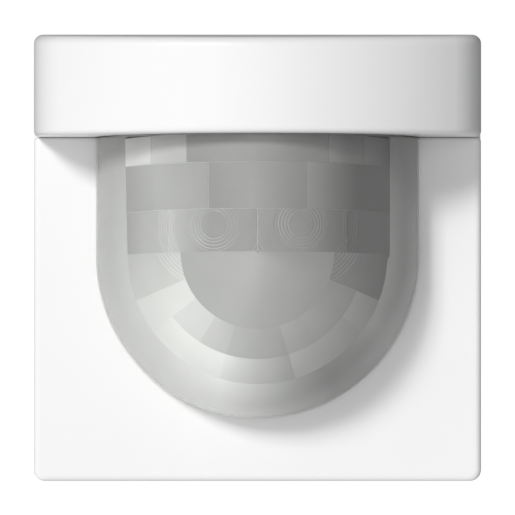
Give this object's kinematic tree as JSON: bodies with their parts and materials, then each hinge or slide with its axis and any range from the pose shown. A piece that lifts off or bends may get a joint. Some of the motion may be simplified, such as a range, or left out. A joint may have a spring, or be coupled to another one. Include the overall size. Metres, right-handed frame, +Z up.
{
  "type": "motion sensor",
  "caption": "Square wall-mounted passive infrared motion sensor with a domed Fresnel lens under a pull-off hood that covers the setting dials.",
  "frame": {"origin": "centre of the square rear seating plane, on the rim's rear edge plane", "axes": "+Z up, front looks along -Y, +Y points into the wall, +X to the right seen from the front"},
  "size_m": [0.055, 0.049, 0.055],
  "materials": {
    "cover_plastic": "satin moulded plastic, near white",
    "lens_plastic": "milky translucent polyethylene with moulded lens facets",
    "black_plastic": "black moulded plastic",
    "housing_plastic": "dark grey moulded plastic",
    "plug_plastic": "black glass-filled plastic",
    "board": "green solder mask on glass epoxy",
    "screw_steel": "zinc plated steel",
    "spring_steel": "bright spring steel",
    "can_metal": "nickel plated steel",
    "filter": "dark coated silicon",
    "ceramic": "white ceramic",
    "tinned_wire": "tinned wire",
    "pin_brass": "plated brass",
    "red_epoxy": "tinted epoxy",
    "clear_epoxy": "clear epoxy",
    "trimmer_plastic": "blue moulded plastic",
    "dial_plastic": "ivory moulded plastic",
    "switch_metal": "tinned sheet steel",
    "chip_plastic": "black moulding compound",
    "capacitor_film": "dark shrink film on an aluminium can",
    "smd_ceramic": "tan ceramic with tinned ends"
  },
  "bodies": {
    "sensor": {"amplifier_chip": "chip_plastic", "brightness_trimmer": "trimmer_plastic", "capacitor_leads": "tinned_wire", "chip_pins": "tinned_wire", "crystal": "switch_metal", "delay_trimmer": "trimmer_plastic", "front_cover": "cover_plastic", "holder_screws": "screw_steel", "housing_screws": "screw_steel", "led_leads": "tinned_wire", "lens": "lens_plastic", "lens_retainer": "black_plastic", "light_sensor": "clear_epoxy", "light_sensor_sleeve": "black_plastic", "main_board": "board", "microcontroller": "chip_plastic", "mode_switch_body": "switch_metal", "mode_switch_pins": "tinned_wire", "pir_base_left": "can_metal", "pir_base_right": "can_metal", "pir_can_left": "can_metal", "pir_can_right": "can_metal", "pir_element_left": "ceramic", "pir_element_right": "ceramic", "pir_leads_left": "tinned_wire", "pir_leads_right": "tinned_wire", "pir_window_left": "filter", "pir_window_right": "filter", "plug_body": "plug_plastic", "plug_pins": "pin_brass", "range_trimmer": "trimmer_plastic", "rear_housing": "housing_plastic", "retainer_screws": "screw_steel", "retaining_spring_left": "spring_steel", "retaining_spring_right": "spring_steel", "sensor_holder": "black_plastic", "smd_capacitors": "smd_ceramic", "smd_resistors": "chip_plastic", "status_led": "red_epoxy", "storage_capacitor": "capacitor_film", "trimmer_pins": "tinned_wire"},
    "hood": {"hood": "cover_plastic"},
    "brightness_dial": {"brightness_dial": "dial_plastic"},
    "delay_dial": {"delay_dial": "dial_plastic"},
    "range_dial": {"range_dial": "dial_plastic"},
    "mode_slider": {"mode_slider": "dial_plastic"}
  },
  "joints": [
    {"name": "hood_pull", "type": "slide", "parent": "sensor", "child": "hood", "axis": [0, -1, 0], "range_m": [0, 0.032]},
    {"name": "brightness_turn", "type": "hinge", "parent": "sensor", "child": "brightness_dial", "pos_m": [-0.0144, -0.01, 0.0209], "axis": [0, -1, 0], "range_deg": [-135, 135]},
    {"name": "delay_turn", "type": "hinge", "parent": "sensor", "child": "delay_dial", "pos_m": [-0.0048, -0.01, 0.0209], "axis": [0, -1, 0], "range_deg": [-135, 135]},
    {"name": "range_turn", "type": "hinge", "parent": "sensor", "child": "range_dial", "pos_m": [0.0048, -0.01, 0.0209], "axis": [0, -1, 0], "range_deg": [-135, 135]},
    {"name": "mode_slide", "type": "slide", "parent": "sensor", "child": "mode_slider", "axis": [1, 0, 0], "range_m": [-0.002, 0.002]}
  ]
}
